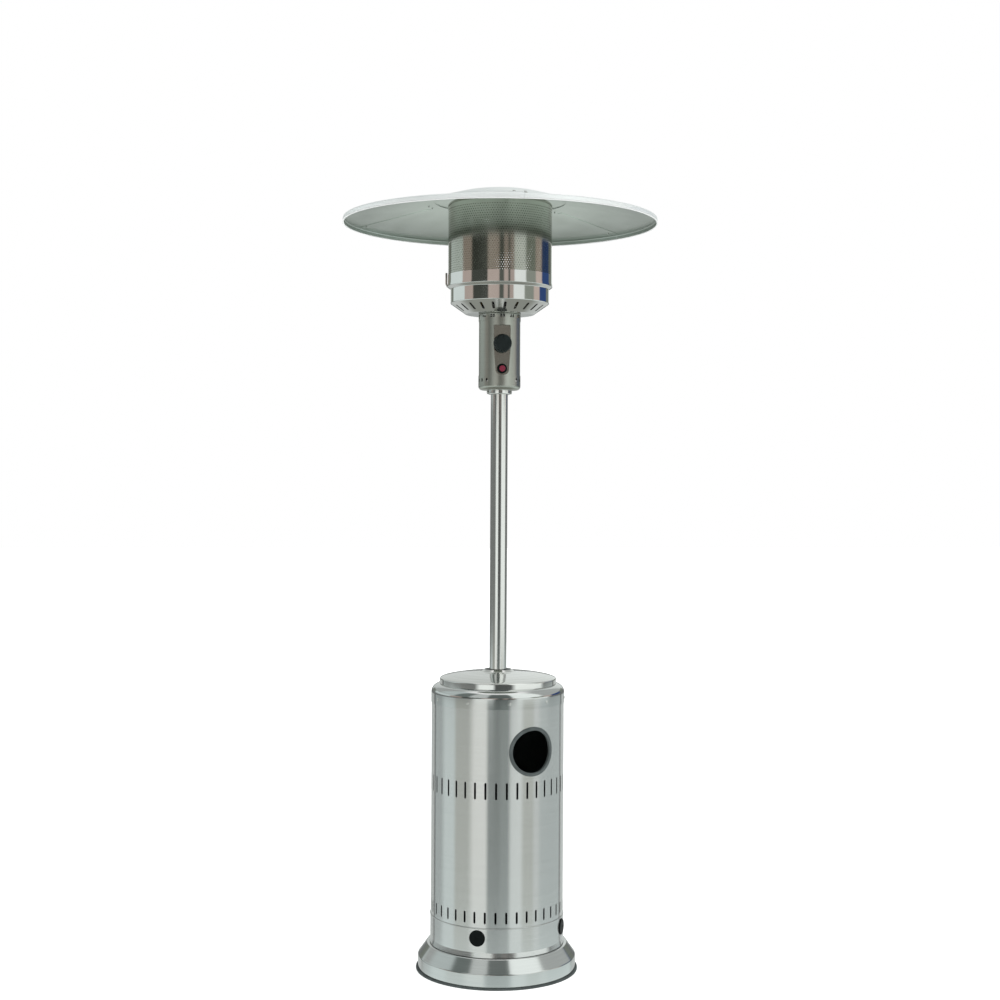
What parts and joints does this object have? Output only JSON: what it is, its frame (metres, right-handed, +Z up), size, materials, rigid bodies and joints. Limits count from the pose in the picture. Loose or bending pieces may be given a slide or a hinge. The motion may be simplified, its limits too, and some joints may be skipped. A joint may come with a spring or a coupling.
{
  "type": "gas patio heater",
  "caption": "Free-standing gas patio heater: round weighted base, steel housing for a gas bottle, pole, control head with knob and igniter, perforated emitter and wide reflector.",
  "frame": {"origin": "on the floor at the centre of the base, on the pole's axis", "axes": "+Z up along the pole, -Y is the front with the control panel, +X to the right seen from the front"},
  "size_m": [0.8846, 0.8846, 2.1881],
  "materials": {
    "brushed_steel": "brushed upright",
    "polished_steel": "mirror polished",
    "reflector_aluminium": "satin",
    "dark_painted_steel": "satin black paint",
    "zinc_plated_steel": "zinc plated",
    "cast_aluminium": "as cast",
    "brass": "turned",
    "concrete": "cast",
    "black_rubber": "matt",
    "black_plastic": "satin",
    "red_plastic": "gloss",
    "ceramic": "glazed"
  },
  "bodies": {
    "base": {"base_trim": "black_rubber", "base_shell": "brushed_steel", "base_plate": "dark_painted_steel", "ballast_block": "concrete", "base_bolts": "zinc_plated_steel", "base_nuts": "zinc_plated_steel", "strut_right": "dark_painted_steel", "strut_left": "dark_painted_steel", "strut_rear": "dark_painted_steel", "strut_feet": "dark_painted_steel", "strut_bolts": "zinc_plated_steel", "strut_nuts": "zinc_plated_steel", "post_bracket": "dark_painted_steel", "socket_plug": "zinc_plated_steel", "gas_inlet_fitting": "brass", "gas_feed_pipe": "zinc_plated_steel", "pole": "polished_steel", "set_screws": "zinc_plated_steel", "head_socket": "polished_steel", "control_cup": "polished_steel", "control_tube": "polished_steel", "vent_collar": "polished_steel", "control_panel": "polished_steel", "gas_valve": "cast_aluminium", "igniter_bezel": "black_plastic", "igniter_body": "black_plastic", "gas_jet": "brass", "tilt_switch": "black_plastic", "burner_pan": "polished_steel", "mixer_tube": "zinc_plated_steel", "burner_head": "brushed_steel", "pilot_tube": "cast_aluminium", "thermocouple": "brass", "spark_electrode": "ceramic", "ignition_lead": "red_plastic", "emitter_ring": "polished_steel", "emitter_screen": "polished_steel", "emitter_top": "polished_steel", "emitter_lug": "polished_steel", "standoffs": "zinc_plated_steel", "standoff_nuts": "zinc_plated_steel", "reflector_petal_front_right": "reflector_aluminium", "reflector_petal_rear": "reflector_aluminium", "reflector_petal_front_left": "reflector_aluminium", "seam_screws": "zinc_plated_steel", "reflector_crown": "reflector_aluminium", "crown_screws": "zinc_plated_steel"},
    "housing": {"tank_shell": "brushed_steel", "shell_collar": "brushed_steel", "band_plugs": "black_plastic", "port_grommet": "black_rubber", "housing_top_ring": "polished_steel", "ring_screws": "zinc_plated_steel", "housing_lid": "brushed_steel", "guide_bush": "black_plastic"},
    "push_bush": {"spindle_bush": "black_plastic"},
    "knob": {"control_knob": "black_plastic", "valve_spindle": "zinc_plated_steel"},
    "igniter": {"igniter_button": "red_plastic"}
  },
  "joints": [
    {"name": "housing_lift", "type": "slide", "parent": "base", "child": "housing", "axis": [0, 0, 1], "range_m": [0, 0.6]},
    {"name": "knob_push", "type": "slide", "parent": "base", "child": "push_bush", "axis": [0, 1, 0], "range_m": [0, 0.004], "stiffness_N_per_m": 2000, "springref_m": -0.002},
    {"name": "knob_turn", "type": "hinge", "parent": "push_bush", "child": "knob", "pos_m": [0, -0.06, 1.757], "axis": [0, -1, 0], "range_deg": [0, 180]},
    {"name": "igniter_press", "type": "slide", "parent": "base", "child": "igniter", "axis": [0, 1, 0], "range_m": [0, 0.005], "stiffness_N_per_m": 1500, "springref_m": -0.002}
  ]
}
